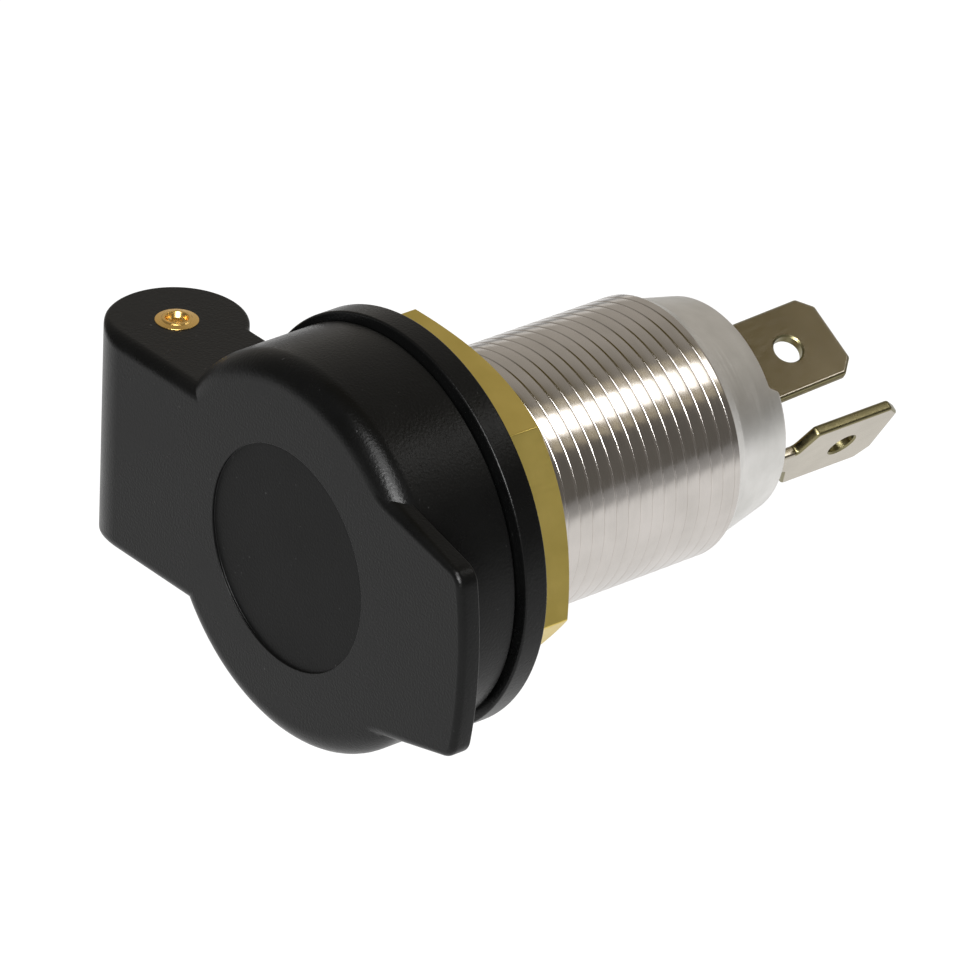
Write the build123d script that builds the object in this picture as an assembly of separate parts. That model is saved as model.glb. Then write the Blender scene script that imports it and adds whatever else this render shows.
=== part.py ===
from build123d import *
import os
from math import cos, pi, radians, sin, sqrt, tan

# Twelve-volt panel socket with a sprung lid, in millimetres.
# The origin is the centre of the flange's back face, where the panel lies.
# +Y runs along the barrel to the terminals, the lid faces -Y and +Z runs along the hinge pin.

# Barrel: threaded outside, plug bore inside, tail crimped over the insert
thread_radius = 9.0
thread_end = 20.4
runout_length = 0.9
runout_drop = 0.55
collar_width = 1.4
collar_thickness = 1.8
collar_chamfer = 0.4
bore_radius = 6.05
bore_length = 14.6
mouth_chamfer = 0.5
tail_taper = 1.0
tail_length = 4.5
rim_chamfer = 0.35
insert_room = 0.85
lip_reach = 0.6
lip_thickness = 1.2
notch_depth = 0.75
notch_centre = 100.0
notch_span = 130.0

# Lock nut
nut_sides = 6
nut_across_flats = 22.4
nut_thickness = 4.2
nut_corner_angle = 47.0
nut_chamfer_angle = 30.0
nut_chamfer_start = 0.5
nut_seat_gap = 0.1
thread_clearance = 0.05

# Bezel: the flange in front of the panel, with two lugs for the hinge
flange_thickness = 1.8
flange_step = 0.55
flange_chamfer = 0.15
lug_thickness = 2.1
lug_arm_half = 1.5
lug_root_depth = 1.5
lug_root_half = 0.85
lug_bridge = 1.2

# Lid: cup, hinge block and thumb tab in one moulding
lid_height = 10.0
lid_gap = 0.35
lid_room = 0.75
lid_wall = 2.35
lid_front_wall = 1.7
lid_rounding = 1.8
lid_rounding_steps = 3
lid_inner_chamfer = 0.6
recess_radius = 7.65
recess_depth = 0.2
hinge_radius = 4.75
hinge_reach = 4.4
hinge_half_height = 7.9
hinge_chamfer = 0.4
hinge_skin = 1.4
cheek_thickness = 1.9
cheek_clearance = 0.3
tab_length = 3.55
tab_thickness = 1.5
tab_end_half = 6.6
tab_flare_angle = 15.0
tab_bow = 0.65
tab_corner = 1.4
tab_chamfer = 0.5

# Hinge pin and torsion spring
pin_radius = 1.0
pin_fit = 0.02
pin_clearance = 0.05
pin_head_radius = 1.45
pin_head_height = 0.2
pin_dish_radius = 1.2
pin_dish_depth = 0.45
knuckle_clearance = 0.25
wire_radius = 0.35
wire_sides = 6
coil_radius = 2.0
coil_half_turns = 5
coil_end_gap = 0.2
spring_leg_gap = 0.06
tang_bend = 0.6
tang_depth = 1.2
tang_clearance = 0.08

# Insert: ground ring, insulator cup and centre contact
insert_clearance = 0.05
ring_grip = 0.25
ring_wall = 0.8
ring_height = 0.8
ring_gap_angle = 50.0
skirt_wall = 0.5
insulator_floor = 3.6
insulator_boss_height = 1.6
boss_clearance = 0.3
contact_bore = 2.5
contact_wall = 0.7
contact_setback = 0.7
contact_floor = 1.2
contact_slots = 4
slot_width = 0.6
slot_length = 6.0
shank_radius = 1.5
shank_clearance = 0.05
rivet_head_radius = 2.3
rivet_head_height = 0.6

# Terminals: two 6.3 mm blades at a right angle
blade_width = 6.3
blade_thickness = 0.8
blade_chamfer = 1.0
blade_hole_radius = 1.0
blade_hole_from_end = 3.75
blade_length = 7.4
shoulder_rise = 0.8
bend_radius = 0.5
positive_angle = 60.0
positive_offset = 3.95
positive_end = 33.95
positive_lean = 4.4
positive_neck_half = 2.3
negative_angle = -33.4
negative_offset = 5.8
negative_end = 36.85
negative_neck_half = 1.2
negative_ring_width = 1.3
negative_bend_radius = 0.25

# Places that follow from the sizes above
face_y = -lid_height
flange_front = -flange_thickness
lid_rim = flange_front - lid_gap
mouth_y = flange_front - collar_thickness
collar_radius = thread_radius + collar_width
lid_bore = collar_radius + lid_room
lid_radius = lid_bore + lid_wall
flange_radius = lid_radius + flange_step
pin_x = -(lid_radius + hinge_reach)
pin_y = face_y + hinge_radius
slot_radius = hinge_radius - hinge_skin
slot_half = hinge_half_height - cheek_thickness
lug_outer = slot_half - cheek_clearance
lug_inner = lug_outer - lug_thickness
knuckle_radius = slot_radius - knuckle_clearance
tail_radius = thread_radius - runout_drop
rim_radius = tail_radius - tail_taper
tail_start = thread_end + runout_length
rim_y = tail_start + tail_length
insert_radius = bore_radius + insert_room
insert_fit_radius = insert_radius - insert_clearance
lip_front = rim_y - lip_thickness
washer_front = lip_front - blade_thickness
floor_front = washer_front - insulator_floor
boss_rear = washer_front + insulator_boss_height
boss_radius = negative_offset - blade_thickness - boss_clearance
strip_rear = boss_rear + blade_thickness
shoulder_y = mouth_y + bore_length
skirt_front = shoulder_y + ring_height
contact_tip = shoulder_y + contact_setback
coil_bottom = -lug_inner + coil_end_gap + wire_radius


def rounded(outline, place, size):
    """A flat outline with the corner nearest a place rounded."""
    corner = outline.vertices().sort_by_distance((*place, 0))[0]
    return fillet(corner, size)


def turned(points):
    """A solid turned about Y from an outline of (radius, y) points."""
    return revolve(make_face(Polyline(*points, close=True)), axis=Axis.Y)


def slab(outline, y_from, y_to):
    """An outline drawn in X and Z, made solid between two places along Y."""
    return extrude(Plane.XZ.offset(-y_from) * outline, amount=y_from - y_to)


def plate(outline, z_from, z_to):
    """An outline drawn in X and Y, made solid between two heights along Z."""
    return extrude(Plane.XY.offset(z_from) * outline, amount=z_to - z_from)


def rod(radius, x, y, z_from, z_to):
    """A round bar parallel to Z."""
    return plate(Pos(x, y) * Circle(radius), z_from, z_to)


def sector(radius, centre, span):
    """A pie slice in X and Z, angles counted from +X towards +Z."""
    first = radians(centre - span / 2)
    middle = radians(centre)
    last = radians(centre + span / 2)
    start = (radius * cos(first), radius * sin(first))
    via = (radius * cos(middle), radius * sin(middle))
    end = (radius * cos(last), radius * sin(last))
    return make_face(Line((0, 0), start) + ThreePointArc(start, via, end) + Line(end, (0, 0)))


def make_barrel():
    lip_radius = insert_radius - lip_reach
    rim_slope = tail_taper / tail_length
    shell = turned(
        [
            (bore_radius + mouth_chamfer, mouth_y),
            (collar_radius - collar_chamfer, mouth_y),
            (collar_radius, mouth_y + collar_chamfer),
            (collar_radius, flange_front),
            (thread_radius, flange_front),
            (thread_radius, thread_end),
            (tail_radius, tail_start),
            (rim_radius + rim_chamfer * rim_slope, rim_y - rim_chamfer),
            (rim_radius - rim_chamfer, rim_y),
            (lip_radius, rim_y),
            (lip_radius, lip_front),
            (insert_radius, lip_front),
            (insert_radius, shoulder_y),
            (bore_radius, shoulder_y),
            (bore_radius, mouth_y + mouth_chamfer),
        ]
    )
    notch = slab(sector(thread_radius, notch_centre, notch_span), rim_y - notch_depth, rim_y)
    return shell - notch


def make_lock_nut():
    front = nut_seat_gap
    rear = front + nut_thickness
    flat_radius = nut_across_flats / 2
    corner_radius = flat_radius / cos(pi / nut_sides)
    hexagon = RegularPolygon(corner_radius, nut_sides, rotation=nut_corner_angle)
    chamfer_start = flat_radius - nut_chamfer_start
    chamfer_drop = (corner_radius - chamfer_start) * tan(radians(nut_chamfer_angle))
    envelope = turned(
        [
            (0, front),
            (corner_radius, front),
            (corner_radius, rear - chamfer_drop),
            (chamfer_start, rear),
            (0, rear),
        ]
    )
    hole = slab(Circle(thread_radius + thread_clearance), front, rear)
    return (slab(hexagon, front, rear) & envelope) - hole


def make_bezel():
    hole_radius = thread_radius + thread_clearance
    ring = turned(
        [
            (hole_radius, flange_front),
            (flange_radius - flange_chamfer, flange_front),
            (flange_radius, flange_front + flange_chamfer),
            (flange_radius, 0),
            (hole_radius, 0),
        ]
    )
    pin = Vector(pin_x, pin_y)
    root = Vector(-(flange_radius - lug_root_depth), flange_front / 2)
    along = (root - pin).normalized()
    across = Vector(-along.Y, along.X)
    arm = make_face(
        Polyline(
            pin + across * lug_arm_half,
            pin - across * lug_arm_half,
            root - across * lug_root_half,
            root + across * lug_root_half,
            close=True,
        )
    )
    profile = Pos(pin_x, pin_y) * Circle(knuckle_radius) + arm
    lower_lug = plate(profile, -lug_outer, -lug_inner)
    upper_lug = plate(profile, lug_inner, lug_outer)
    bridge_x = -(flange_radius + lug_bridge)
    bridge_outline = Pos((bridge_x + root.X) / 2, 0) * Rectangle(root.X - bridge_x, 2 * lug_outer)
    bridge = slab(bridge_outline, flange_front, 0)
    pin_hole = rod(pin_radius + pin_clearance, pin_x, pin_y, -lug_outer, lug_outer)
    tang_hole = rod(
        wire_radius + tang_clearance,
        pin_x + coil_radius,
        pin_y - tang_bend,
        -lug_inner - tang_depth - tang_clearance,
        -lug_inner,
    )
    return ring + bridge + lower_lug + upper_lug - pin_hole - tang_hole


def make_lid():
    rounding = []
    for index in range(lid_rounding_steps + 1):
        angle = pi / 2 * index / lid_rounding_steps
        radius = lid_radius - lid_rounding * (1 - sin(angle))
        rounding.append((radius, face_y + lid_rounding * (1 - cos(angle))))
    cup = turned([(0, face_y), *rounding, (lid_radius, lid_rim), (0, lid_rim)])
    web = Pos(pin_x / 2, (face_y + lid_rim) / 2) * Rectangle(-pin_x, lid_rim - face_y)
    barrel_end = Pos(pin_x, pin_y) * Circle(hinge_radius)
    block = plate(barrel_end + web, -hinge_half_height, hinge_half_height)
    ends = block.faces().sort_by(Axis.Z)
    end_edges = ends[0].edges() + ends[-1].edges()
    round_edges = end_edges.filter_by(GeomType.CIRCLE)
    straight_edges = end_edges.filter_by(GeomType.LINE)
    front_edges = straight_edges.filter_by(lambda edge: edge.center().X < 0 and edge.center().Y < pin_y)
    block = chamfer(front_edges + round_edges, hinge_chamfer)

    tab_end = lid_radius + tab_length
    root_half = tab_end_half + tab_end * tan(radians(tab_flare_angle))
    tab_outline = make_face(
        Polyline((tab_end, -tab_end_half), (0, -root_half), (0, root_half), (tab_end, tab_end_half))
        + ThreePointArc((tab_end, tab_end_half), (tab_end + tab_bow, 0), (tab_end, -tab_end_half))
    )
    tab_outline = fillet(tab_outline.vertices().group_by(Axis.X)[-1], tab_corner)
    tab = slab(tab_outline, face_y, face_y + tab_thickness)
    tab_front = tab.faces().sort_by(Axis.Y)[0]
    tab = chamfer(tab_front.edges().filter_by(lambda edge: edge.center().X > 0), tab_chamfer)

    cavity_front = face_y + lid_front_wall
    cavity = turned(
        [
            (0, cavity_front),
            (lid_bore - lid_inner_chamfer, cavity_front),
            (lid_bore, cavity_front + lid_inner_chamfer),
            (lid_bore, lid_rim),
            (0, lid_rim),
        ]
    )
    recess = slab(Circle(recess_radius), face_y, face_y + recess_depth)
    slot_front = pin_y - slot_radius
    slot_end = -collar_radius
    slot_outline = Pos(pin_x, pin_y) * Circle(slot_radius)
    slot_outline += Pos((pin_x + slot_end) / 2, slot_front / 2) * Rectangle(slot_end - pin_x, -slot_front)
    slot_outline += Pos(pin_x - hinge_radius / 2, pin_y / 2) * Rectangle(hinge_radius, -pin_y)
    slot = plate(slot_outline, -slot_half, slot_half)
    pin_hole = rod(pin_radius + pin_fit, pin_x, pin_y, -hinge_half_height, hinge_half_height)
    return cup + block + tab - cavity - recess - slot - pin_hole


def make_hinge_pin():
    top = hinge_half_height + pin_head_height
    upper = [
        (pin_radius, hinge_half_height),
        (pin_head_radius, hinge_half_height),
        (pin_head_radius, top),
        (pin_dish_radius, top),
        (0, top - pin_dish_depth),
    ]
    lower = [(radius, -height) for radius, height in reversed(upper)]
    return Pos(pin_x, pin_y, 0) * Rot(90, 0, 0) * turned(lower + upper)


def make_lid_spring():
    half_rise = -2 * coil_bottom / coil_half_turns
    half_bend = pi / 4
    tang_top = Vector(coil_radius, -tang_bend, coil_bottom - tang_bend)
    bend_middle = Vector(
        coil_radius,
        -tang_bend * cos(half_bend),
        coil_bottom - tang_bend * (1 - sin(half_bend)),
    )
    coil_start = Vector(coil_radius, 0, coil_bottom)
    tang_foot = Vector(coil_radius, -tang_bend, -lug_inner - tang_depth)
    path = [Line(tang_foot, tang_top), ThreePointArc(tang_top, bend_middle, coil_start)]
    side = 1
    for index in range(coil_half_turns):
        z = coil_bottom + index * half_rise
        path.append(
            ThreePointArc(
                (side * coil_radius, 0, z),
                (0, side * coil_radius, z + half_rise / 2),
                (-side * coil_radius, 0, z + half_rise),
            )
        )
        side = -side
    leg_reach = slot_radius - wire_radius - spring_leg_gap
    leg_length = sqrt(leg_reach**2 - coil_radius**2)
    coil_end = path[-1] @ 1
    path.append(Line(coil_end, coil_end + Vector(0, side * leg_length, 0)))
    wire = Wire([part.edge() for part in path])
    section = RegularPolygon(wire_radius, wire_sides)
    spring = sweep(Plane(tang_foot, z_dir=(0, 0, 1)) * section, path=wire)
    return Pos(pin_x, pin_y, 0) * spring


def make_ground_ring():
    inner = bore_radius - ring_grip
    section = make_face(
        Polyline(
            (inner, shoulder_y),
            (inner + ring_wall, shoulder_y),
            (inner + ring_wall, skirt_front),
            (inner, skirt_front),
            close=True,
        )
    )
    return revolve(section, axis=Axis.Y, revolution_arc=360 - ring_gap_angle)


def make_insulator():
    hole = shank_radius + shank_clearance
    skirt_inner = insert_fit_radius - skirt_wall
    return turned(
        [
            (hole, floor_front),
            (skirt_inner, floor_front),
            (skirt_inner, skirt_front),
            (insert_fit_radius, skirt_front),
            (insert_fit_radius, washer_front),
            (boss_radius, washer_front),
            (boss_radius, boss_rear),
            (hole, boss_rear),
        ]
    )


def make_centre_contact():
    outer = contact_bore + contact_wall
    lead_in = contact_wall / 2
    sleeve_floor = floor_front - contact_floor
    body = turned(
        [
            (0, sleeve_floor),
            (contact_bore, sleeve_floor),
            (contact_bore, contact_tip + lead_in),
            (contact_bore + lead_in, contact_tip),
            (outer, contact_tip),
            (outer, floor_front),
            (shank_radius, floor_front),
            (shank_radius, strip_rear),
            (rivet_head_radius, strip_rear),
            (shank_radius, strip_rear + rivet_head_height),
            (0, strip_rear + rivet_head_height),
        ]
    )
    cutter = slab(Rectangle(2 * outer, slot_width), contact_tip, contact_tip + slot_length)
    for index in range(contact_slots // 2):
        body -= Rot(0, index * 360 / contact_slots, 0) * cutter
    return body


def blade(profile, neck_half, neck_start, end):
    """A bent strip, drawn with its outward side along +X, trimmed to a shouldered blade with a hole."""
    half = blade_width / 2
    strip = plate(profile, -half, half)
    shoulder = end - blade_length
    side = [
        (neck_half, neck_start),
        (neck_half, shoulder - shoulder_rise),
        (half, shoulder),
        (half, end - blade_chamfer),
        (half - blade_chamfer, end),
    ]
    other_side = [(-z, y) for z, y in reversed(side)]
    outline = make_face(Polyline(*side, *other_side, close=True))
    outline -= Pos(0, end - blade_hole_from_end) * Circle(blade_hole_radius)
    side_plane = Plane((0, 0, 0), x_dir=(0, 0, 1), z_dir=(-1, 0, 0))
    return strip & extrude(side_plane * outline, amount=thread_radius, both=True)


def make_positive_terminal():
    lean = radians(positive_lean)
    outer_end = positive_offset + (positive_end - boss_rear) * tan(lean)
    inner_end = outer_end - blade_thickness / cos(lean)
    outer_corner = (positive_offset, boss_rear)
    inner_corner = (inner_end - (positive_end - strip_rear) * tan(lean), strip_rear)
    profile = make_face(
        Polyline(
            (-rivet_head_radius, boss_rear),
            outer_corner,
            (outer_end, positive_end),
            (inner_end, positive_end),
            inner_corner,
            (-rivet_head_radius, strip_rear),
            close=True,
        )
    )
    profile = rounded(profile, outer_corner, bend_radius + blade_thickness)
    profile = rounded(profile, inner_corner, bend_radius)
    strip = blade(profile, positive_neck_half, boss_rear, positive_end)
    strip -= slab(Circle(shank_radius + shank_clearance), boss_rear, strip_rear)
    return Rot(0, -positive_angle, 0) * strip


def make_negative_terminal():
    inner = negative_offset - blade_thickness
    inner_corner = (inner, washer_front)
    bend_corner = (negative_offset, lip_front)
    profile = make_face(
        Polyline(
            inner_corner,
            (insert_fit_radius, washer_front),
            (insert_fit_radius, lip_front),
            bend_corner,
            (negative_offset, negative_end),
            (inner, negative_end),
            close=True,
        )
    )
    profile = rounded(profile, inner_corner, blade_thickness)
    profile = rounded(profile, bend_corner, negative_bend_radius)
    strip = Rot(0, -negative_angle, 0) * blade(profile, negative_neck_half, washer_front, negative_end)
    washer_outline = Circle(insert_fit_radius) - Circle(insert_fit_radius - negative_ring_width)
    washer = slab(washer_outline, washer_front, lip_front)
    reach = slab(Circle(insert_fit_radius), washer_front, negative_end)
    return washer + (strip & reach)


pieces = {
    "barrel": make_barrel(),
    "lock_nut": make_lock_nut(),
    "bezel": make_bezel(),
    "lid": make_lid(),
    "hinge_pin": make_hinge_pin(),
    "lid_spring": make_lid_spring(),
    "ground_ring": make_ground_ring(),
    "insulator": make_insulator(),
    "centre_contact": make_centre_contact(),
    "positive_terminal": make_positive_terminal(),
    "negative_terminal": make_negative_terminal(),
}

os.makedirs("parts", exist_ok=True)
for name, solid in pieces.items():
    export_step(solid, f"parts/{name}.step")
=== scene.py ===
from math import acos, ceil, cos, hypot, pi, radians, sin, sqrt, tan

import bmesh
import bpy
import numpy as np
from mathutils import Matrix, Vector


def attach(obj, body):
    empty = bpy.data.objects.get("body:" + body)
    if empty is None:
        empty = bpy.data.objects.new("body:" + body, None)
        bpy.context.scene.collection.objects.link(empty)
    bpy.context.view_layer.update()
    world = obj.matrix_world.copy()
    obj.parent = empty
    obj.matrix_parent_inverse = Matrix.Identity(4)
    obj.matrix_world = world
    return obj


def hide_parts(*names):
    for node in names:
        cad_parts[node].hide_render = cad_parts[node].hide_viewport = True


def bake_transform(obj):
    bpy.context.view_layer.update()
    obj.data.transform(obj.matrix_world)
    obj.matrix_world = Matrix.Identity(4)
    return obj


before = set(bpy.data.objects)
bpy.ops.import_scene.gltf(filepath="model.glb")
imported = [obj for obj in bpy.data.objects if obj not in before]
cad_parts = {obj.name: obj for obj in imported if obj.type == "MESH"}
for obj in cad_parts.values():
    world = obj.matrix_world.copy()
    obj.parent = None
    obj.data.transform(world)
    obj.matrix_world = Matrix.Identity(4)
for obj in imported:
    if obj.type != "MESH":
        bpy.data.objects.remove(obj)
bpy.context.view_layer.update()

# Sizes in millimetres, in the frame of the solids
MM = 0.001
FACE_Y, LID_RIM = -10.0, -2.15
LID_RADIUS, LID_BORE, LID_FRONT_WALL, LID_ROUNDING = 13.5, 11.15, 1.7, 1.8
RECESS_RADIUS, RECESS_DEPTH = 7.65, 0.2
PIN_X, PIN_Y = -17.9, -5.25
HINGE_RADIUS, HINGE_HALF, SLOT_RADIUS, SLOT_HALF = 4.75, 7.9, 3.35, 6.0
TAB_END, TAB_HALF, TAB_BOW, TAB_FLARE, TAB_THICKNESS = 17.05, 6.6, 0.65, 15.0, 1.5
TAB_CORNER = 1.4
FLANGE_FRONT, FLANGE_RADIUS, HOLE_RADIUS = -1.8, 14.05, 9.05
LUG_OUTER, LUG_INNER, KNUCKLE_RADIUS = 5.7, 3.6, 3.1
BRIDGE_FAR, BRIDGE_NEAR, ARM_HALF_AT_PIN, ARM_HALF_AT_ROOT = -15.25, -12.55, 1.5, 0.85
PIN_RADIUS, PIN_HEAD_RADIUS, PIN_TOP = 1.0, 1.45, 8.1
PIN_RING_FOOT, PIN_RING_OUTER, PIN_RING_INNER = 1.04, 0.96, 0.80
PIN_DISH_RADIUS, PIN_DISH_DEPTH = 0.62, 0.45
THREAD_RADIUS, THREAD_START, THREAD_FADE, THREAD_END, THREAD_PITCH = 9.0, 0.4, 1.2, 20.4, 1.0
THREAD_DEPTH, GROOVE_HALF, CREST_CROWN = 0.05, 0.11, 0.012
COLLAR_RADIUS, MOUTH_Y, BORE_RADIUS, SHOULDER_Y = 10.4, -3.6, 6.05, 11.0
TAIL_START, TAIL_RADIUS, RIM_Y, RIM_RADIUS = 21.3, 8.45, 25.8, 7.45
INSERT_RADIUS, LIP_RADIUS, LIP_FRONT = 6.9, 6.3, 24.6
NOTCH_FROM, NOTCH_TO, NOTCH_DEPTH, NOTCH_SLOPE = 35.0, 165.0, 0.75, 5.0
NUT_FRONT, NUT_REAR, NUT_FLAT, NUT_CORNER = 0.1, 4.3, 11.2, 47.0
COIL_RADIUS, COIL_HALF, COIL_TURNS, WIRE_RADIUS = 2.0, 3.05, 2.5, 0.32
BLADE_WIDTH, BLADE_THICKNESS, BLADE_LENGTH = 6.3, 0.8, 7.4
BLADE_HOLE, HOLE_FROM_END = 1.0, 3.75
POSITIVE_ANGLE, POSITIVE_OFFSET, POSITIVE_END, POSITIVE_LEAN = 60.0, 3.95, 33.95, 4.4
NEGATIVE_ANGLE, NEGATIVE_OFFSET, NEGATIVE_END = -33.4, 5.8, 36.85
WASHER_FRONT, WASHER_INNER, WASHER_OUTER, NECK_HALF = 23.8, 5.55, 6.85, 1.2
BOSS_REAR, STRIP_REAR, STRIP_HALF, RIVET_HOLE = 25.4, 26.2, 2.3, 1.55

# How far joined faces stay apart, and how far a cutting tool reaches past its piece
FLUSH, PAST = 0.004, 1.0


# Shapes: profiles, turned solids and prisms

def mesh_object(name, points, faces):
    """A closed mesh from points in millimetres, its faces turned outwards."""
    mesh = bpy.data.meshes.new(name)
    mesh.from_pydata([tuple(p) for p in points], [], faces)
    shape = bmesh.new()
    shape.from_mesh(mesh)
    bmesh.ops.recalc_face_normals(shape, faces=shape.faces)
    shape.to_mesh(mesh)
    shape.free()
    made = bpy.data.objects.new(name, mesh)
    bpy.context.scene.collection.objects.link(made)
    return made


def rounded_path(corners, closed=True, step=15.0):
    """A polyline through (x, y, radius) corners, each rounded by its radius."""
    count = len(corners)
    path = []
    for index, (x, y, radius) in enumerate(corners):
        here = np.array((x, y), float)
        if radius <= 0 or (not closed and index in (0, count - 1)):
            path.append(here)
            continue
        before = np.array(corners[index - 1][:2], float) - here
        after = np.array(corners[(index + 1) % count][:2], float) - here
        before /= np.linalg.norm(before)
        after /= np.linalg.norm(after)
        inner = acos(float(np.clip(before @ after, -1, 1)))
        reach = radius / tan(inner / 2)
        middle = before + after
        centre = here + middle / np.linalg.norm(middle) * radius / sin(inner / 2)
        first = here + before * reach - centre
        last = here + after * reach - centre
        turn = pi - inner
        steps = max(2, ceil(turn / radians(step)))
        for k in range(steps + 1):
            share = k / steps
            weight_first = sin((1 - share) * turn) / sin(turn)
            weight_last = sin(share * turn) / sin(turn)
            path.append(centre + weight_first * first + weight_last * last)
    return np.array(path)


def smooth(share):
    """A share from 0 to 1 with soft ends."""
    return share * share * (3 - 2 * share)


def arc(cx, cy, radius, start, end, steps):
    """Points of an arc, angles in degrees."""
    return [
        (cx + radius * cos(radians(start + (end - start) * k / steps)),
         cy + radius * sin(radians(start + (end - start) * k / steps)))
        for k in range(steps + 1)
    ]


def circle_outline(cx, cy, radius, sides=24):
    """A regular polygon that stands for a circle."""
    return arc(cx, cy, radius, 0, 360 - 360 / sides, sides - 1)


def turned(name, path, segments, closed=False):
    """A solid of revolution about Y from (radius, y) points, open paths starting and ending on the axis."""
    on_axis = 1e-6
    points, faces, rings = [], [], []
    for radius, y in path:
        if radius < on_axis:
            rings.append([len(points)] * segments)
            points.append((0, y, 0))
            continue
        rings.append(list(range(len(points), len(points) + segments)))
        for k in range(segments):
            angle = 2 * pi * k / segments
            points.append((radius * cos(angle), y, radius * sin(angle)))
    pairs = list(zip(rings, rings[1:]))
    if closed:
        pairs.append((rings[-1], rings[0]))
    for low, high in pairs:
        for k in range(segments):
            n = (k + 1) % segments
            face = list(dict.fromkeys((low[k], low[n], high[n], high[k])))
            if len(face) > 2:
                faces.append(face)
    return mesh_object(name, points, faces)


def inset(outline, distance):
    """A closed outline moved inwards along its corners."""
    before = outline - np.roll(outline, 1, 0)
    after = np.roll(outline, -1, 0) - outline
    before /= np.linalg.norm(before, axis=1)[:, None]
    after /= np.linalg.norm(after, axis=1)[:, None]
    normal_before = np.stack([-before[:, 1], before[:, 0]], 1)
    normal_after = np.stack([-after[:, 1], after[:, 0]], 1)
    middle = normal_before + normal_after
    middle /= np.linalg.norm(middle, axis=1)[:, None]
    least = 0.5
    stretch = np.clip((middle * normal_before).sum(1), least, 1)
    return outline + middle * (distance / stretch)[:, None]


def prism(name, outline, low, high, round_low=0.0, round_high=0.0, along="z", steps=6):
    """An outline made solid between two places along one axis, its end edges rounded by one or many radii."""
    outline = np.array(outline, float)
    round_low = np.broadcast_to(np.asarray(round_low, float), len(outline))
    round_high = np.broadcast_to(np.asarray(round_high, float), len(outline))
    x, y = outline[:, 0], outline[:, 1]
    if (x * np.roll(y, -1) - y * np.roll(x, -1)).sum() < 0:
        outline, round_low, round_high = outline[::-1], round_low[::-1], round_high[::-1]
    quarter = np.linspace(0, pi / 2, steps + 1)
    levels = []
    for angle in quarter if round_low.max() > 0 else quarter[-1:]:
        levels.append((low + round_low * (1 - cos(angle)), round_low * (1 - sin(angle))))
    for angle in quarter[::-1] if round_high.max() > 0 else quarter[-1:]:
        levels.append((high - round_high * (1 - cos(angle)), round_high * (1 - sin(angle))))
    points, faces = [], []
    count = len(outline)
    for places, distances in levels:
        for (u, v), place_mm in zip(inset(outline, distances), places):
            points.append({"x": (place_mm, v, u), "y": (u, place_mm, v), "z": (u, v, place_mm)}[along])
    for level in range(len(levels) - 1):
        start = level * count
        for k in range(count):
            n = (k + 1) % count
            faces.append((start + k, start + n, start + count + n, start + count + k))
    faces.append(tuple(range(count)))
    faces.append(tuple(range((len(levels) - 1) * count, len(levels) * count)))
    return mesh_object(name, points, faces)


def combine(target, tool, operation):
    """Joins, cuts or intersects one solid with another, which is then removed."""
    modifier = target.modifiers.new("combine", "BOOLEAN")
    modifier.operation = operation
    modifier.solver = "EXACT"
    modifier.object = tool
    depsgraph = bpy.context.evaluated_depsgraph_get()
    mesh = bpy.data.meshes.new_from_object(target.evaluated_get(depsgraph))
    target.modifiers.clear()
    target.data = mesh
    bpy.data.objects.remove(tool)
    return target


def finished(piece, body, node, material, sharp=32.0):
    """Scales a piece to metres, smooths it, and sets what it rides on, replaces and is made of."""
    piece.data.transform(Matrix.Scale(MM, 4))
    piece.data.shade_smooth()
    piece.data.set_sharp_from_angle(angle=radians(sharp))
    weighted = piece.modifiers.new("normals", "WEIGHTED_NORMAL")
    weighted.keep_sharp = True
    piece.data.materials.clear()
    piece.data.materials.append(material)
    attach(piece, body)
    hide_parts(node)


# Materials: plastic and metal from noise

def start_material(name):
    """A new material, its nodes and its shader."""
    made = bpy.data.materials.new(name)
    made.use_nodes = True
    tree = made.node_tree
    return made, tree, tree.nodes["Principled BSDF"]


def add(tree, kind, inputs=None, **settings):
    """A node with its settings, its inputs given as values or as other nodes' outputs."""
    made = tree.nodes.new(kind)
    for key, value in settings.items():
        setattr(made, key, value)
    for key, value in (inputs or {}).items():
        if isinstance(value, bpy.types.NodeSocket):
            tree.links.new(value, made.inputs[key])
        else:
            made.inputs[key].default_value = value
    return made


def place(tree, stretch=(1, 1, 1)):
    """The place on the object in millimetres, scaled along each axis: a small factor draws a pattern out."""
    coordinates = add(tree, "ShaderNodeTexCoord")
    scale = tuple(s / MM for s in stretch)
    inputs = {"Vector": coordinates.outputs["Object"], "Scale": scale}
    return add(tree, "ShaderNodeMapping", inputs).outputs[0]


def noise(tree, vector, scale, detail):
    """Noise with so many waves to the millimetre."""
    inputs = {"Vector": vector, "Scale": scale, "Detail": detail, "Roughness": 0.5}
    return add(tree, "ShaderNodeTexNoise", inputs).outputs["Fac"]


def ramp(tree, factor, stops):
    """A colour ramp through (position, colour) stops."""
    made = add(tree, "ShaderNodeValToRGB", {"Fac": factor})
    elements = made.color_ramp.elements
    elements[0].position, elements[0].color = stops[0][0], (*stops[0][1], 1)
    elements[1].position, elements[1].color = stops[-1][0], (*stops[-1][1], 1)
    for position, colour in stops[1:-1]:
        elements.new(position).color = (*colour, 1)
    return made.outputs["Color"]


def spread(tree, factor, low, high, from_low=0.3, from_high=0.7):
    """A factor mapped to a range of values."""
    return add(tree, "ShaderNodeMapRange", {
        "Value": factor, "From Min": from_low, "From Max": from_high, "To Min": low, "To Max": high,
    }).outputs["Result"]


def bump(tree, shader, height, strength, distance):
    """A fine relief, its depth in millimetres."""
    made = add(tree, "ShaderNodeBump", {"Height": height, "Strength": strength, "Distance": distance * MM})
    tree.links.new(made.outputs["Normal"], shader.inputs["Normal"])


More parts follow.
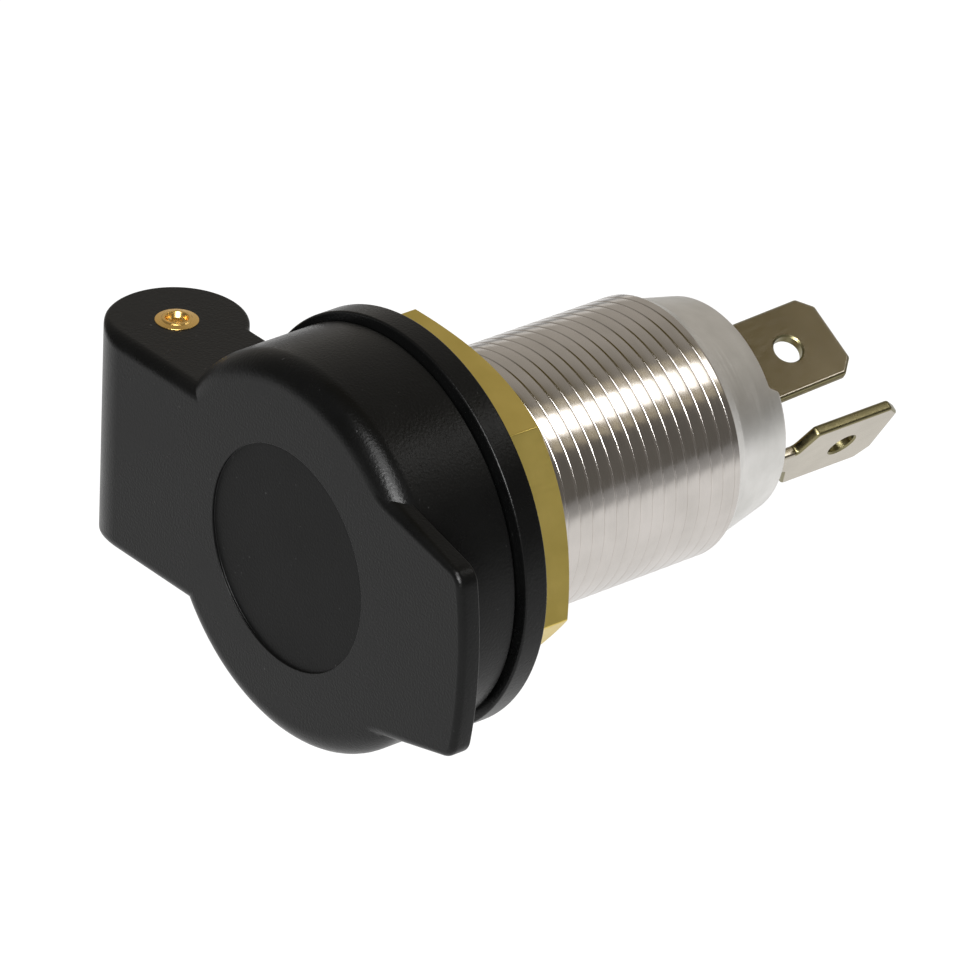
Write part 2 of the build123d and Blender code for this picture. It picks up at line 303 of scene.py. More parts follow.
def plastic(name, dark, pale, roughness, specular):
    """Moulded plastic: fine grain, cloudy sheen and a few pale specks."""
    made, tree, shader = start_material(name)
    where = place(tree)
    cloud = noise(tree, where, scale=0.18, detail=4.0)
    grain = noise(tree, where, scale=5.5, detail=2.0)
    specks = noise(tree, where, scale=2.6, detail=1.0)
    base = ramp(tree, cloud, [(0.3, dark), (0.7, pale)])
    dust = (0.10, 0.10, 0.10, 1)
    dusting = spread(tree, specks, 0.0, 0.25, from_low=0.77, from_high=0.82)
    dusty = add(tree, "ShaderNodeMix", {0: dusting, 6: base, 7: dust}, data_type="RGBA")
    tree.links.new(dusty.outputs[2], shader.inputs["Base Color"])
    tree.links.new(spread(tree, cloud, roughness - 0.04, roughness + 0.05), shader.inputs["Roughness"])
    shader.inputs["Specular IOR Level"].default_value = specular
    bump(tree, shader, grain, strength=0.4, distance=0.05)
    return made


def metal(name, dark, bright, roughness, stretch, streak=6.0, vary=0.05, bump_strength=0.1):
    """Worked metal: cloudy colour, streaks along one way and uneven gloss."""
    made, tree, shader = start_material(name)
    cloud = noise(tree, place(tree), scale=0.35, detail=4.0)
    streaks = noise(tree, place(tree, stretch), scale=streak, detail=3.0)
    base = ramp(tree, cloud, [(0.3, dark), (0.7, bright)])
    tree.links.new(base, shader.inputs["Base Color"])
    shader.inputs["Metallic"].default_value = 1.0
    tree.links.new(spread(tree, streaks, roughness - vary, roughness + vary), shader.inputs["Roughness"])
    bump(tree, shader, streaks, bump_strength, distance=0.01)
    return made


BLACK = (0.0022, 0.0023, 0.0023), (0.0038, 0.0039, 0.0039)
BROWN = (0.020, 0.016, 0.013), (0.030, 0.024, 0.020)
black_plastic = plastic("black_plastic", *BLACK, roughness=0.28, specular=0.19)
recess_plastic = plastic("recess_plastic", *BLACK, roughness=0.52, specular=0.15)
insulator_plastic = plastic("insulator_plastic", *BROWN, roughness=0.5, specular=0.4)

# The ways in which streaks are drawn out: about the barrel, along it, along a blade, up the pin, or none
ROUND_BARREL, ALONG, ALONG_BLADE = (0.04, 1.0, 0.04), (1.0, 0.1, 1.0), (1.0, 0.2, 1.0)
UP_PIN, EVEN = (1.0, 1.0, 0.1), (1.0, 1.0, 1.0)
barrel_metal = metal(
    "barrel_metal", (0.61, 0.575, 0.54), (0.70, 0.66, 0.625),
    roughness=0.16, stretch=ROUND_BARREL, vary=0.04)
satin_metal = metal(
    "satin_metal", (0.71, 0.70, 0.67), (0.88, 0.865, 0.84),
    roughness=0.38, stretch=ROUND_BARREL, vary=0.05)
brass = metal(
    "brass", (0.77, 0.60, 0.16), (0.88, 0.69, 0.20),
    roughness=0.35, stretch=ALONG, streak=4.0, vary=0.03, bump_strength=0.04)
pin_brass = metal(
    "pin_brass", (0.94, 0.58, 0.17), (1.0, 0.68, 0.24),
    roughness=0.27, stretch=UP_PIN, streak=4.0)
tinned_blade = metal(
    "tinned_blade", (0.50, 0.455, 0.375), (0.57, 0.52, 0.43),
    roughness=0.17, stretch=ALONG_BLADE, streak=5.0, vary=0.03, bump_strength=0.03)
bare_edge = metal(
    "bare_edge", (0.23, 0.205, 0.11), (0.29, 0.26, 0.14),
    roughness=0.3, stretch=EVEN, streak=3.0)
spring_steel = metal(
    "spring_steel", (0.42, 0.42, 0.42), (0.55, 0.55, 0.56),
    roughness=0.3, stretch=EVEN, streak=2.0)


# Lid: cup, hinge block and thumb tab in one moulding

def lid_cup():
    """The round cup, still solid, with the recess in its face."""
    crease, rim_edge = 0.06, 0.15
    return turned("lid_moulding", rounded_path([
        (0, FACE_Y + RECESS_DEPTH, 0),
        (RECESS_RADIUS, FACE_Y + RECESS_DEPTH, crease),
        (RECESS_RADIUS, FACE_Y, crease),
        (LID_RADIUS, FACE_Y, LID_ROUNDING),
        (LID_RADIUS, LID_RIM, rim_edge),
        (0, LID_RIM, 0),
    ], closed=False, step=9.0), segments=192)


def lid_block():
    """The hinge block, its edges soft in front and crisp behind."""
    web_end, soft, crisp = -9.5, 0.95, 0.25
    crisp_from, soft_from, steps = 215, 270, 48
    meet = sqrt(HINGE_RADIUS**2 - (LID_RIM - PIN_Y) ** 2)
    last = np.degrees(np.arctan2(LID_RIM - PIN_Y, meet))
    bends = np.linspace(soft_from, last, steps + 1)
    fade = smooth(np.clip((bends - crisp_from) / (soft_from - crisp_from), 0, 1))
    rounding = [soft, *(crisp + (soft - crisp) * fade), crisp]
    outline = [
        (web_end, FACE_Y + FLUSH),
        *arc(PIN_X, PIN_Y, HINGE_RADIUS - FLUSH, soft_from, last, steps),
        (web_end, LID_RIM - FLUSH),
    ]
    return prism("block", outline, -HINGE_HALF, HINGE_HALF, rounding, rounding)


def lid_tab():
    """The thumb tab, flared and bowed, with a hollow fillet to the cup."""
    root_x, root_half, sink = 8.2, 6.0, 1.6
    root_round, end_round, rear_round, fillet = 0.8, 0.45, 0.15, 4.4
    fade_from, fade_length = 9.5, 5.5
    flare = radians(TAB_FLARE)
    bow_radius = (TAB_HALF**2 + TAB_BOW**2) / (2 * TAB_BOW)
    bow_x = TAB_END + TAB_BOW - bow_radius
    near = TAB_CORNER / cos(flare) + (bow_x - TAB_END) * tan(flare)
    lean = np.arcsin((TAB_HALF - near) * cos(flare) / (bow_radius - TAB_CORNER)) - flare
    corner_x = bow_x + (bow_radius - TAB_CORNER) * cos(lean)
    corner_z = (bow_radius - TAB_CORNER) * sin(lean)
    lean = np.degrees(lean)
    circle = LID_RADIUS - LID_ROUNDING + root_round
    away = TAB_HALF * cos(flare) + TAB_END * sin(flare) + fillet
    run = sqrt((circle + fillet) ** 2 - away**2)
    fillet_x = away * sin(flare) + run * cos(flare)
    fillet_z = away * cos(flare) - run * sin(flare)
    meets = np.degrees(np.arctan2(fillet_z, fillet_x)) + 180
    inward = (circle - sink) / (circle + fillet)
    upper = [
        *arc(corner_x, corner_z, TAB_CORNER, lean, 90 - TAB_FLARE, steps=10),
        *arc(fillet_x, fillet_z, fillet, 270 - TAB_FLARE, meets, steps=10),
        (inward * fillet_x, inward * fillet_z),
        (root_x, root_half),
    ]
    lower = [(x, -z) for x, z in reversed(upper)]
    outline = [*lower, *arc(bow_x, 0, bow_radius, -lean, lean, steps=24)[1:-1], *upper]
    fade = smooth(np.clip((np.array(outline)[:, 0] - fade_from) / fade_length, 0, 1))
    rounding = root_round + (end_round - root_round) * fade
    return prism("tab", outline, FACE_Y + FLUSH, FACE_Y + TAB_THICKNESS, rounding, rear_round, along="y")


def lid_cavity():
    """The room inside the cup, with a chamfer at the rim."""
    corner, chamfer = 0.8, 0.2
    return turned("cavity", rounded_path([
        (0, FACE_Y + LID_FRONT_WALL, 0),
        (LID_BORE, FACE_Y + LID_FRONT_WALL, corner),
        (LID_BORE, LID_RIM - chamfer, 0),
        (LID_BORE + 2 * chamfer, LID_RIM + chamfer, 0),
        (0, LID_RIM + chamfer, 0),
    ], closed=False), segments=160)


def lid_slot():
    """The room for the bezel's lugs between the cheeks of the hinge block."""
    rear, beyond = 0.5, PIN_X - HINGE_RADIUS - 0.5
    outline = [
        (-COLLAR_RADIUS, PIN_Y - SLOT_RADIUS),
        (-COLLAR_RADIUS, rear),
        (beyond, rear),
        (beyond, PIN_Y),
        *arc(PIN_X, PIN_Y, SLOT_RADIUS, 180, 270, steps=24),
    ]
    return prism("slot", outline, -SLOT_HALF, SLOT_HALF)


def pin_hole(room, half):
    """A cutter for the hinge pin."""
    return prism("hole", circle_outline(PIN_X, PIN_Y, PIN_RADIUS + room), -half - PAST, half + PAST)


def make_lid():
    cup = lid_cup()
    combine(cup, lid_block(), "UNION")
    combine(cup, lid_tab(), "UNION")
    combine(cup, lid_cavity(), "DIFFERENCE")
    combine(cup, lid_slot(), "DIFFERENCE")
    combine(cup, pin_hole(room=0.02, half=HINGE_HALF), "DIFFERENCE")
    finished(cup, "lid", "lid", black_plastic)
    cup.data.materials.append(recess_plastic)
    floor_y, floor_radius, facing_front = FACE_Y + RECESS_DEPTH + 0.01, RECESS_RADIUS - 0.03, -0.7
    for face in cup.data.polygons:
        x, y, z = face.center / MM
        if y < floor_y and hypot(x, z) < floor_radius and face.normal.y < facing_front:
            face.material_index = 1


make_lid()


# Bezel: flange with two hinge lugs

def make_bezel():
    inner_edge, outer_edge, bridge_corner, sunk = 0.1, 0.15, 0.3, 0.01
    ring = turned("bezel_moulding", rounded_path([
        (HOLE_RADIUS, FLANGE_FRONT, inner_edge),
        (FLANGE_RADIUS, FLANGE_FRONT, outer_edge),
        (FLANGE_RADIUS, 0, outer_edge),
        (HOLE_RADIUS, 0, inner_edge),
    ]), segments=224, closed=True)
    bridge_outline = rounded_path([
        (BRIDGE_FAR, -LUG_OUTER, bridge_corner),
        (BRIDGE_NEAR, -LUG_OUTER, 0),
        (BRIDGE_NEAR, LUG_OUTER, 0),
        (BRIDGE_FAR, LUG_OUTER, bridge_corner),
    ])
    front, rear = FLANGE_FRONT + sunk, -sunk
    bridge = prism("bridge", bridge_outline, front, rear, inner_edge, inner_edge, along="y")
    combine(ring, bridge, "UNION")
    pin = Vector((PIN_X, PIN_Y))
    root = Vector((BRIDGE_NEAR, FLANGE_FRONT / 2))
    way = (root - pin).normalized()
    across = Vector((-way.y, way.x))
    heading = np.degrees(np.arctan2(way.y, way.x))
    side = np.degrees(np.arcsin(ARM_HALF_AT_PIN / KNUCKLE_RADIUS))
    knuckle = arc(PIN_X, PIN_Y, KNUCKLE_RADIUS, heading + side, heading + 360 - side, steps=48)
    arm = [tuple(root - across * ARM_HALF_AT_ROOT), tuple(root + across * ARM_HALF_AT_ROOT)]
    for low, high in ((-LUG_OUTER, -LUG_INNER), (LUG_INNER, LUG_OUTER)):
        combine(ring, prism("lug", knuckle + arm, low, high, outer_edge, outer_edge, steps=3), "UNION")
    combine(ring, pin_hole(room=0.05, half=LUG_OUTER), "DIFFERENCE")
    finished(ring, "socket", "bezel", black_plastic)


make_bezel()


# Barrel: rolled thread, plug bore and crimped tail

def barrel_angles():
    """The columns' angles in degrees, closer together at the ends of the notch in the rim."""
    columns, end_columns, apart = 180, 9, 0.5
    angles = np.linspace(0, 360, columns, endpoint=False)
    ends = np.linspace(0, NOTCH_SLOPE, end_columns)
    for first in (NOTCH_FROM - NOTCH_SLOPE, NOTCH_TO):
        clear = (angles < first - apart) | (angles > first + NOTCH_SLOPE + apart)
        angles = np.append(angles[clear], first + ends)
    return np.append(np.sort(angles), 360.0)


def barrel_rows(angles):
    """Rows of (radius, y) for each column, from the mouth over the thread to the lip and back inside."""
    turn = np.radians(angles)
    inside = np.minimum(angles - NOTCH_FROM, NOTCH_TO - angles)
    top = RIM_Y - NOTCH_DEPTH * smooth(np.clip(1 + inside / NOTCH_SLOPE, 0, 1))
    slope = (TAIL_RADIUS - RIM_RADIUS) / (RIM_Y - TAIL_START)
    same = np.ones(len(angles))
    rows = []

    def ring(radius, y):
        rows.append((same * radius, same * y))

    mouth_depth, mouth_edge, collar_edge, crease, in_flange = 2, 0.5, 0.4, 0.05, 0.5
    for radius, y in rounded_path([
        (BORE_RADIUS, MOUTH_Y + mouth_depth, 0),
        (BORE_RADIUS, MOUTH_Y, mouth_edge),
        (COLLAR_RADIUS, MOUTH_Y, collar_edge),
        (COLLAR_RADIUS, FLANGE_FRONT, crease),
        (THREAD_RADIUS, FLANGE_FRONT, crease),
        (THREAD_RADIUS, FLANGE_FRONT + in_flange, 0),
    ], closed=False):
        ring(radius, y)

    def groove(y):
        """The share of the thread's depth at a place along Y, for each column."""
        away = np.abs((y / THREAD_PITCH + turn / (2 * pi) + 0.5) % 1 - 0.5)
        cut = np.clip(1 - away / GROOVE_HALF, 0, 1)
        return np.maximum(smooth(cut), CREST_CROWN / THREAD_DEPTH * (1 - 2 * away) ** 2)

    fine_rows, crest_rows, runout_rows, runout_fade = 13, 4, 12, 1.4
    fine = np.linspace(-GROOVE_HALF, GROOVE_HALF, fine_rows)
    crest = np.linspace(GROOVE_HALF, 1 - GROOVE_HALF, crest_rows + 2)[1:-1]
    within = np.append(fine, crest)
    for number in range(ceil(THREAD_END / THREAD_PITCH) + 2):
        for share in within:
            y = np.clip((number + share - turn / (2 * pi)) * THREAD_PITCH, THREAD_START, THREAD_END)
            fade = np.minimum(1.0, (y - THREAD_START) / THREAD_FADE)
            rows.append((THREAD_RADIUS - THREAD_DEPTH * fade * groove(y), y))
    for k in range(1, runout_rows + 1):
        share = k / runout_rows
        y = THREAD_END + (TAIL_START - THREAD_END) * share
        crest_radius = THREAD_RADIUS + (TAIL_RADIUS - THREAD_RADIUS) * share
        deep = THREAD_DEPTH * max(0.0, 1 - runout_fade * share)
        rows.append((crest_radius - deep * groove(y), same * y))
    crimp, crimp_room, lip_edge, steps = 0.28, 0.6, 0.15, 6
    tail_shares = (0.04, 0.3, 0.6, 0.85)
    for share in tail_shares:
        y = TAIL_START + (RIM_Y - NOTCH_DEPTH - crimp_room - TAIL_START) * share
        ring(TAIL_RADIUS - slope * (y - TAIL_START), y)
    for k in range(steps + 1):
        angle = pi / 2 * k / steps
        y = top - crimp * (1 - sin(angle))
        radius = TAIL_RADIUS - slope * (y - TAIL_START) - crimp * (1 - cos(angle))
        rows.append((radius, y))
    for k in range(0, steps + 1, 2):
        angle = pi / 2 * k / steps
        rows.append((same * LIP_RADIUS + lip_edge * (1 - sin(angle)), top - lip_edge * (1 - cos(angle))))
    ring(LIP_RADIUS, LIP_FRONT)
    ring(INSERT_RADIUS, LIP_FRONT)
    ring(INSERT_RADIUS, SHOULDER_Y)
    ring(BORE_RADIUS, SHOULDER_Y)
    return rows


def make_barrel():
    angles = barrel_angles()
    turn = np.radians(angles)
    points, faces, known, rings = [], [], {}, []
    width, digits = len(angles) - 1, 5
    for radius, y in barrel_rows(angles):
        ids = []
        for i in range(width + 1):
            key = (i % width, round(float(radius[i]), digits), round(float(y[i]), digits))
            if key not in known:
                known[key] = len(points)
                points.append((radius[i] * cos(turn[i]), y[i], radius[i] * sin(turn[i])))
            ids.append(known[key])
        rings.append(ids)
    for low, high in zip(rings, rings[1:] + rings[:1]):
        for i in range(width):
            face = list(dict.fromkeys((low[i], low[i + 1], high[i + 1], high[i])))
            if len(face) > 2:
                faces.append(face)
    made = mesh_object("barrel_turned", points, faces)
    finished(made, "socket", "barrel", barrel_metal, sharp=40.0)
    made.data.materials.append(satin_metal)
    for face in made.data.polygons:
        if face.center.y > THREAD_END * MM:
            face.material_index = 1


make_barrel()


# Lock nut: hexagon with a chamfered rear

def make_nut():
    corner_round, edge, bore_chamfer = 0.15, 0.06, 0.4
    chamfer_inset, chamfer_slope, beyond, cap_run, cap_rise = 0.5, 30, 0.5, 0.6, 0.35
    corner = NUT_FLAT / cos(pi / 6)
    corners = [radians(NUT_CORNER + 60 * k) for k in range(6)]
    hexagon = rounded_path([(corner * cos(angle), corner * sin(angle), corner_round) for angle in corners])
    nut = prism("nut_hexagon", hexagon, NUT_FRONT, NUT_REAR, edge, edge, along="y", steps=3)
    chamfer_start = NUT_FLAT - chamfer_inset
    drop = (corner + beyond - chamfer_start) * tan(radians(chamfer_slope))
    envelope = turned("envelope", [
        (0, NUT_FRONT - PAST),
        (corner + beyond, NUT_FRONT - PAST),
        (corner + beyond, NUT_REAR - drop),
        (chamfer_start, NUT_REAR),
        (chamfer_start - cap_run, NUT_REAR + cap_rise),
        (0, NUT_REAR + cap_rise),
    ], segments=160)
    combine(nut, envelope, "INTERSECT")
    wide = HOLE_RADIUS + bore_chamfer + PAST
    bore = turned("bore", [
        (0, NUT_FRONT - PAST),
        (wide, NUT_FRONT - PAST),
        (HOLE_RADIUS, NUT_FRONT + bore_chamfer),
        (HOLE_RADIUS, NUT_REAR - bore_chamfer),
        (wide, NUT_REAR + PAST),
        (0, NUT_REAR + PAST),
    ], segments=160)
    combine(nut, bore, "DIFFERENCE")
    finished(nut, "lock_nut", "lock_nut", brass)


make_nut()


# Hinge pin: heads with a sloped flange, a raised ring and a hollow

def make_pin():
    rim_height, foot_height, dish_rise = 0.05, 0.12, 0.05
    under_edge, rim_edge, foot_round, ring_edge, dish_round = 0.02, 0.03, 0.07, 0.06, 0.2
    upper = list(rounded_path([
        (PIN_RADIUS, HINGE_HALF, 0),
        (PIN_HEAD_RADIUS, HINGE_HALF, under_edge),
        (PIN_HEAD_RADIUS, HINGE_HALF + rim_height, rim_edge),
        (PIN_RING_FOOT, HINGE_HALF + foot_height, foot_round),
        (PIN_RING_OUTER, PIN_TOP, ring_edge),
        (PIN_RING_INNER, PIN_TOP, ring_edge),
        (PIN_DISH_RADIUS, PIN_TOP - PIN_DISH_DEPTH + dish_rise, dish_round),
        (0, PIN_TOP - PIN_DISH_DEPTH, 0),
    ], closed=False))
    lower = [(radius, -height) for radius, height in upper[::-1]]
    pin = turned("pin_riveted", [*lower, *upper], segments=64)
    pin.data.transform(Matrix.Translation((PIN_X, PIN_Y, 0)) @ Matrix.Rotation(pi / 2, 4, "X"))
    finished(pin, "lid", "hinge_pin", pin_brass)


make_pin()


# Torsion spring, one end in the bezel's lug and the other on the lid

def spring_route():
    """The wire's centre line: tang in the lower lug, coil, then a leg along the lid."""
    bend, tang, leg = 0.6, 1.2, 2.15
    bend_steps, coil_steps, leg_steps = 8, 110, 5
    route = [(COIL_RADIUS, -bend, -LUG_INNER - tang), (COIL_RADIUS, -bend, -COIL_HALF - bend)]
    for k in range(1, bend_steps + 1):
        angle = pi / 2 * k / bend_steps
        route.append((COIL_RADIUS, -bend * cos(angle), -COIL_HALF - bend * (1 - sin(angle))))
    for k in range(1, coil_steps + 1):
        share = k / coil_steps
        angle = 2 * pi * COIL_TURNS * share
        route.append((COIL_RADIUS * cos(angle), COIL_RADIUS * sin(angle), COIL_HALF * (2 * share - 1)))
    for k in range(1, leg_steps + 1):
        route.append((-COIL_RADIUS, -leg * k / leg_steps, COIL_HALF))
    return np.array(route) + np.array((PIN_X, PIN_Y, 0))


def make_spring():
    sides, sharp = 12, 50
    route = spring_route()
    tangents = np.gradient(route, axis=0)
    tangents /= np.linalg.norm(tangents, axis=1)[:, None]
    normal = np.array((1.0, 0, 0))
    points, faces = [], []
    for place_mm, tangent in zip(route, tangents):
        normal = normal - tangent * (normal @ tangent)
        normal /= np.linalg.norm(normal)
        other = np.cross(tangent, normal)
        for k in range(sides):
            angle = 2 * pi * k / sides
            points.append(place_mm + WIRE_RADIUS * (cos(angle) * normal + sin(angle) * other))
    for j in range(len(route) - 1):
        for k in range(sides):
            n = (k + 1) % sides
            faces.append((j * sides + k, j * sides + n, (j + 1) * sides + n, (j + 1) * sides + k))
    faces.append(tuple(range(sides)))
    faces.append(tuple(range((len(route) - 1) * sides, len(route) * sides)))
    spring = mesh_object("spring_wire", points, faces)
    spring.data.transform(Matrix.Scale(MM, 4))
    spring.data.shade_smooth()
    spring.data.set_sharp_from_angle(angle=radians(sharp))
    spring.data.materials.append(spring_steel)
    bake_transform(spring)
    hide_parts("lid_spring")


make_spring()


# Blades: stamped strip with a shouldered end

def blade_end(offset, neck_half, start, end):
    """The flat end of a terminal, outward side along +X."""
    half = BLADE_WIDTH / 2
    shoulder = end - BLADE_LENGTH
    edge, corner, shoulder_slope, end_chamfer, flare = 0.24, 0.3, 0.8, 1.0, 0.12
    side = [
        (neck_half, start, 0),
        (neck_half, shoulder - shoulder_slope, corner),
        (half, shoulder, corner),
        (half, end - end_chamfer, corner),
        (half - end_chamfer, end, corner),
    ]
    outline = rounded_path(side + [(-z, y, radius) for z, y, radius in reversed(side)], step=20.0)
    inner = offset - BLADE_THICKNESS
    flat = prism("blade", outline, inner, offset, edge, edge, along="x", steps=4)
    wide = BLADE_HOLE + flare + PAST
    hole = turned("hole", [
        (0, inner - PAST),
        (wide, inner - PAST),
        (BLADE_HOLE, inner + flare),
        (BLADE_HOLE, offset - flare),
        (wide, offset + PAST),
        (0, offset + PAST),
    ], segments=40)
    hole.data.transform(Matrix.Translation((0, end - HOLE_FROM_END, 0)) @ Matrix.Rotation(-pi / 2, 4, "Z"))
    return combine(flat, hole, "DIFFERENCE")


def finish_blade(piece, angle, lean, node):
    """Turns a terminal to its place and gives its cut edges the bare metal."""
    piece.data.transform(Matrix.Rotation(-radians(angle), 4, "Y"))
    outward = Matrix.Rotation(-radians(angle), 3, "Y") @ Vector((cos(radians(lean)), -sin(radians(lean)), 0))
    finished(piece, "socket", node, tinned_blade)
    piece.data.materials.append(bare_edge)
    edges_from, flat = (STRIP_REAR + 0.5) * MM, 0.95
    for face in piece.data.polygons:
        if face.center.y > edges_from and abs(face.normal.dot(outward)) < flat:
            face.material_index = 1


def make_positive():
    lean = radians(POSITIVE_LEAN)
    bend, edge = 0.5, 0.09
    inner = POSITIVE_OFFSET - BLADE_THICKNESS / cos(lean)
    join, blade_start = STRIP_REAR + 2.0, STRIP_REAR + 0.6
    profile = rounded_path([
        (-STRIP_HALF, BOSS_REAR, 0),
        (POSITIVE_OFFSET, BOSS_REAR, bend + BLADE_THICKNESS),
        (POSITIVE_OFFSET + (join - BOSS_REAR) * tan(lean), join, 0),
        (inner + (join - BOSS_REAR) * tan(lean), join, 0),
        (inner + BLADE_THICKNESS * tan(lean), STRIP_REAR, bend),
        (-STRIP_HALF, STRIP_REAR, 0),
    ])
    strip = prism("positive_blade", profile, -STRIP_HALF, STRIP_HALF, edge, edge, steps=3)
    hole = prism("hole", circle_outline(0, 0, RIVET_HOLE), BOSS_REAR - PAST, STRIP_REAR + PAST, along="y")
    combine(strip, hole, "DIFFERENCE")
    flat = blade_end(FLUSH, STRIP_HALF, blade_start - BOSS_REAR, (POSITIVE_END - BOSS_REAR) / cos(lean))
    flat.data.transform(Matrix.Translation((POSITIVE_OFFSET, BOSS_REAR, 0)) @ Matrix.Rotation(-lean, 4, "Z"))
    combine(strip, flat, "UNION")
    finish_blade(strip, POSITIVE_ANGLE, POSITIVE_LEAN, "positive_terminal")


def make_negative():
    edge, neck_start = 0.06, WASHER_FRONT + 0.1
    washer = turned("negative_blade", rounded_path([
        (WASHER_INNER, WASHER_FRONT, edge),
        (WASHER_OUTER, WASHER_FRONT, edge),
        (WASHER_OUTER, LIP_FRONT, edge),
        (WASHER_INNER, LIP_FRONT, edge),
    ], step=45.0), segments=128, closed=True)
    combine(washer, blade_end(NEGATIVE_OFFSET, NECK_HALF, neck_start, NEGATIVE_END), "UNION")
    finish_blade(washer, NEGATIVE_ANGLE, 0, "negative_terminal")


make_positive()
make_negative()


# Pieces inside the barrel, shown as their solids

INSIDE = {"insulator": insulator_plastic, "centre_contact": pin_brass, "ground_ring": spring_steel}
for node, material in INSIDE.items():
    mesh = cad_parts[node].data
    mesh.materials.clear()
    mesh.materials.append(material)


# Floor: white to the camera, a pale pool of light in reflections

def make_floor():
    half, level = 4.0, -0.06
    page_white = 0.95
    mesh = bpy.data.meshes.new("floor")
    mesh.from_pydata([(-half, -half, level), (half, -half, level), (half, half, level), (-half, half, level)],
                     [], [(0, 1, 2, 3)])
    floor = bpy.data.objects.new("floor", mesh)
    bpy.context.scene.collection.objects.link(floor)
    made, tree, shader = start_material("floor")
    tree.nodes.remove(shader)
    rays = add(tree, "ShaderNodeLightPath")
    seen = add(tree, "ShaderNodeMath", {0: rays.outputs["Is Camera Ray"], 1: rays.outputs["Is Glossy Ray"]},
               operation="MAXIMUM")
    seen = add(tree, "ShaderNodeMath", {0: seen.outputs[0], 1: rays.outputs["Is Transmission Ray"]},
               operation="MAXIMUM")
    paper = add(tree, "ShaderNodeBsdfDiffuse", {"Color": (0.8, 0.8, 0.8, 1)})
    shade = add(tree, "ShaderNodeBsdfDiffuse", {"Color": (0.15, 0.15, 0.15, 1)})
    where = add(tree, "ShaderNodeTexCoord").outputs["Object"]
    pool = (-0.08, 0.07, level)
    away = add(tree, "ShaderNodeVectorMath", {0: where, 1: pool}, operation="DISTANCE").outputs["Value"]
    bright = add(tree, "ShaderNodeMapRange", {
        "Value": away, "From Min": 0.26, "From Max": 0.40, "To Min": 0.72, "To Max": 0.24,
    }, interpolation_type="SMOOTHSTEP").outputs["Result"]
    plain = add(tree, "ShaderNodeMath", {0: rays.outputs["Is Camera Ray"], 1: page_white},
                operation="MULTIPLY")
    bright = add(tree, "ShaderNodeMath", {0: plain.outputs[0], 1: bright}, operation="MAXIMUM").outputs[0]
    glow = add(tree, "ShaderNodeEmission", {"Color": (1, 1, 1, 1), "Strength": bright})
    white = add(tree, "ShaderNodeAddShader", {0: shade.outputs[0], 1: glow.outputs[0]})
    mix = add(tree, "ShaderNodeMixShader", {0: seen.outputs[0], 1: paper.outputs[0], 2: white.outputs[0]})
    tree.links.new(mix.outputs[0], tree.nodes["Material Output"].inputs["Surface"])
    mesh.materials.append(made)


make_floor()


# Room: paler behind the part than before it, warm overhead, white to the camera

world = bpy.data.worlds.new("studio")
bpy.context.scene.world = world
world.use_nodes = True
room = world.node_tree
facing = add(room, "ShaderNodeTexCoord").outputs["Generated"]
pale_side = (-0.62, 0.78, 0.0)
towards = add(room, "ShaderNodeVectorMath", {0: facing, 1: pale_side}, operation="DOT_PRODUCT")
level = add(room, "ShaderNodeMapRange", {
    "Value": towards.outputs["Value"], "From Min": 0.0, "From Max": 0.95, "To Min": 0.13, "To Max": 0.42,
}, interpolation_type="SMOOTHSTEP")
sky = room.nodes["Background"]
height = add(room, "ShaderNodeSeparateXYZ", {0: facing}).outputs["Z"]
tint = ramp(room, height, [(0.83, (1.0, 0.94, 0.85)), (0.87, (0.50, 0.38, 0.10))])
seen = add(room, "ShaderNodeLightPath").outputs["Is Camera Ray"]
plain = add(room, "ShaderNodeMix", {0: seen, 6: tint, 7: (1, 1, 1, 1)}, data_type="RGBA")
room.links.new(plain.outputs[2], sky.inputs["Color"])
strength = add(room, "ShaderNodeMath", {0: level.outputs["Result"], 1: seen}, operation="MAXIMUM")
room.links.new(strength.outputs[0], sky.inputs["Strength"])


# Lamps: soft boxes before and behind the part

def aim(made, right, up, back, spot):
    """Sets an object at a spot, its own axes along three given ways."""
    made.matrix_world = Matrix.Translation(spot) @ Matrix((right, up, back)).transposed().to_4x4()


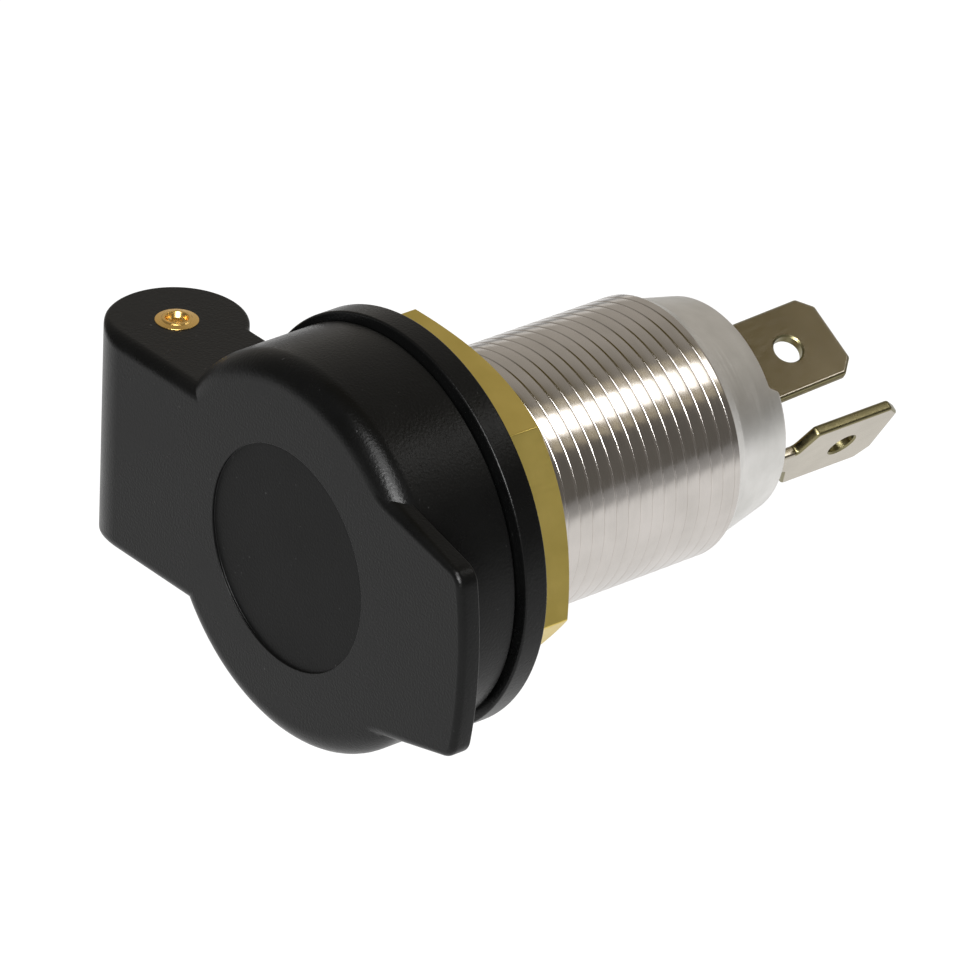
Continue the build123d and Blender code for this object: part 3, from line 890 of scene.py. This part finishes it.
def softbox(name, direction, distance, width, height, power, along=(0, 0, 1), colour=(1, 1, 1)):
    """An area light that faces the object from a direction, its width lying along a given way."""
    lamp = bpy.data.lights.new(name, "AREA")
    lamp.shape = "RECTANGLE"
    lamp.size, lamp.size_y = width, height
    lamp.energy = power
    lamp.color = colour
    made = bpy.data.objects.new(name, lamp)
    bpy.context.scene.collection.objects.link(made)
    away = Vector(direction).normalized()
    across = (Vector(along) - away * away.dot(along)).normalized()
    aim(made, across, away.cross(across), away, away * distance)


ACROSS_BARREL, WARM = (-0.9, 0, 0.44), (1.0, 0.88, 0.60)
softbox("back_right", (0.36, 0.57, 0.74), distance=0.8, width=0.22, height=0.14, power=0.25,
        along=ACROSS_BARREL)
softbox("back_right_strip", (0.36, 0.60, 0.71), distance=0.9, width=0.54, height=0.16, power=0.1,
        along=ACROSS_BARREL, colour=WARM)
softbox("front_right", (0.58, -0.66, 0.475), distance=0.8, width=0.26, height=0.40, power=6.4)
softbox("front_right_strip", (0.44, -0.49, 0.75), distance=0.9, width=0.62, height=0.48, power=6.0,
        along=(-0.61, 0.47, 0.64))
softbox("back_left", (-0.76, 0.65, 0.03), distance=1.0, width=0.24, height=0.12, power=0.03,
        along=(0.65, 0.76, 0))


# Camera at the photograph's angle

FRAME_PX, FOCAL_PX, SENSOR_MM = 960, 8699.6, 36.0
azimuth, elevation, roll = radians(49.49), radians(29.03), radians(2.69)
distance = 563.4 * MM
level_right = Vector((cos(azimuth), sin(azimuth), 0))
back = Vector((sin(azimuth) * cos(elevation), -cos(azimuth) * cos(elevation), sin(elevation)))
level_up = back.cross(level_right)
right = level_right * cos(roll) + level_up * sin(roll)
up = level_up * cos(roll) - level_right * sin(roll)
middle, shift_right, shift_up = Vector((0, 8 * MM, 0)), 1.59, 0.04
target = middle - right * shift_right * MM - up * shift_up * MM
camera_data = bpy.data.cameras.new("camera")
camera_data.sensor_width = SENSOR_MM
camera_data.lens = FOCAL_PX / FRAME_PX * SENSOR_MM
camera_data.clip_start, camera_data.clip_end = 0.01, 20.0
camera = bpy.data.objects.new("camera", camera_data)
bpy.context.scene.collection.objects.link(camera)
aim(camera, right, up, back, target + back * distance)
bpy.context.scene.camera = camera

bpy.context.scene.view_settings.view_transform = "Standard"
